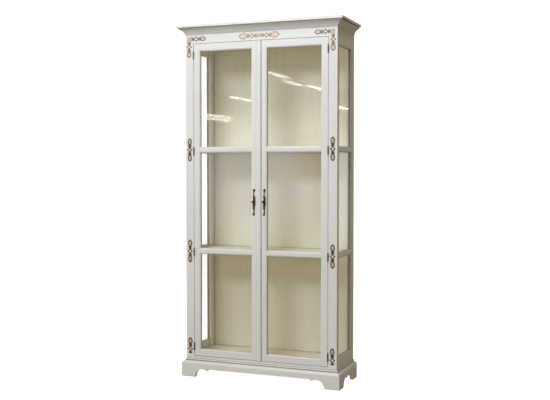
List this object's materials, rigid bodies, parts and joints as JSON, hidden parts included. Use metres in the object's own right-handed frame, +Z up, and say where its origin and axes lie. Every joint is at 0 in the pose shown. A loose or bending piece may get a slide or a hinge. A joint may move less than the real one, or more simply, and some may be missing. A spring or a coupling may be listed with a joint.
{
  "type": "curio cabinet",
  "caption": "Tall free-standing display cabinet with hinged glazed double doors, glazed sides, fixed shelves, a coved cornice and a bracket-foot plinth.",
  "frame": {"origin": "on the floor under the centre of the overall box", "axes": "+Z up, +X to the right seen from the front, +Y to the back"},
  "size_m": [1.082, 0.394, 2.2],
  "materials": {
    "ivory_paint": "satin warm white paint over wood",
    "cream_interior": "satin cream paint on the boards inside",
    "clear_glass": "clear polished float glass",
    "aged_bronze": "antique bronze, dark in the hollows and rubbed gold on the high spots",
    "hinge_bronze": "dull dark bronze"
  },
  "bodies": {
    "carcass": {"front_post_left": "ivory_paint", "rear_post_left": "ivory_paint", "side_rail_bottom_left": "ivory_paint", "side_rail_lower_left": "ivory_paint", "side_rail_upper_left": "ivory_paint", "side_rail_top_left": "ivory_paint", "side_glass_lower_left": "clear_glass", "side_glass_middle_left": "clear_glass", "side_glass_upper_left": "clear_glass", "front_post_right": "ivory_paint", "rear_post_right": "ivory_paint", "side_rail_bottom_right": "ivory_paint", "side_rail_lower_right": "ivory_paint", "side_rail_upper_right": "ivory_paint", "side_rail_top_right": "ivory_paint", "side_glass_lower_right": "clear_glass", "side_glass_middle_right": "clear_glass", "side_glass_upper_right": "clear_glass", "frieze_rail": "ivory_paint", "lower_front_rail": "ivory_paint", "top_board": "ivory_paint", "floor_board": "cream_interior", "lower_shelf": "cream_interior", "upper_shelf": "cream_interior", "back_panel": "cream_interior", "cornice_front": "ivory_paint", "cornice_left": "ivory_paint", "cornice_right": "ivory_paint", "plinth_front": "ivory_paint", "plinth_left": "ivory_paint", "plinth_right": "ivory_paint", "hinge_left_1": "hinge_bronze", "hinge_left_2": "hinge_bronze", "hinge_left_3": "hinge_bronze", "hinge_left_4": "hinge_bronze", "hinge_right_1": "hinge_bronze", "hinge_right_2": "hinge_bronze", "hinge_right_3": "hinge_bronze", "hinge_right_4": "hinge_bronze"},
    "left_door": {"left_door_hinge_stile": "ivory_paint", "left_door_meeting_stile": "ivory_paint", "left_door_bottom_rail": "ivory_paint", "left_door_lower_rail": "ivory_paint", "left_door_upper_rail": "ivory_paint", "left_door_top_rail": "ivory_paint", "left_door_lower_glass": "clear_glass", "left_door_middle_glass": "clear_glass", "left_door_upper_glass": "clear_glass", "left_door_handle": "aged_bronze", "meeting_strip": "ivory_paint"},
    "right_door": {"right_door_hinge_stile": "ivory_paint", "right_door_meeting_stile": "ivory_paint", "right_door_bottom_rail": "ivory_paint", "right_door_lower_rail": "ivory_paint", "right_door_upper_rail": "ivory_paint", "right_door_top_rail": "ivory_paint", "right_door_lower_glass": "clear_glass", "right_door_middle_glass": "clear_glass", "right_door_upper_glass": "clear_glass", "right_door_handle": "aged_bronze"}
  },
  "joints": [
    {"name": "left_door_hinge", "type": "hinge", "parent": "carcass", "child": "left_door", "pos_m": [-0.441, -0.1582, 1.1], "axis": [0, 0, -1], "range_deg": [0, 170]},
    {"name": "right_door_hinge", "type": "hinge", "parent": "carcass", "child": "right_door", "pos_m": [0.441, -0.1582, 1.1], "axis": [0, 0, 1], "range_deg": [0, 170]}
  ]
}
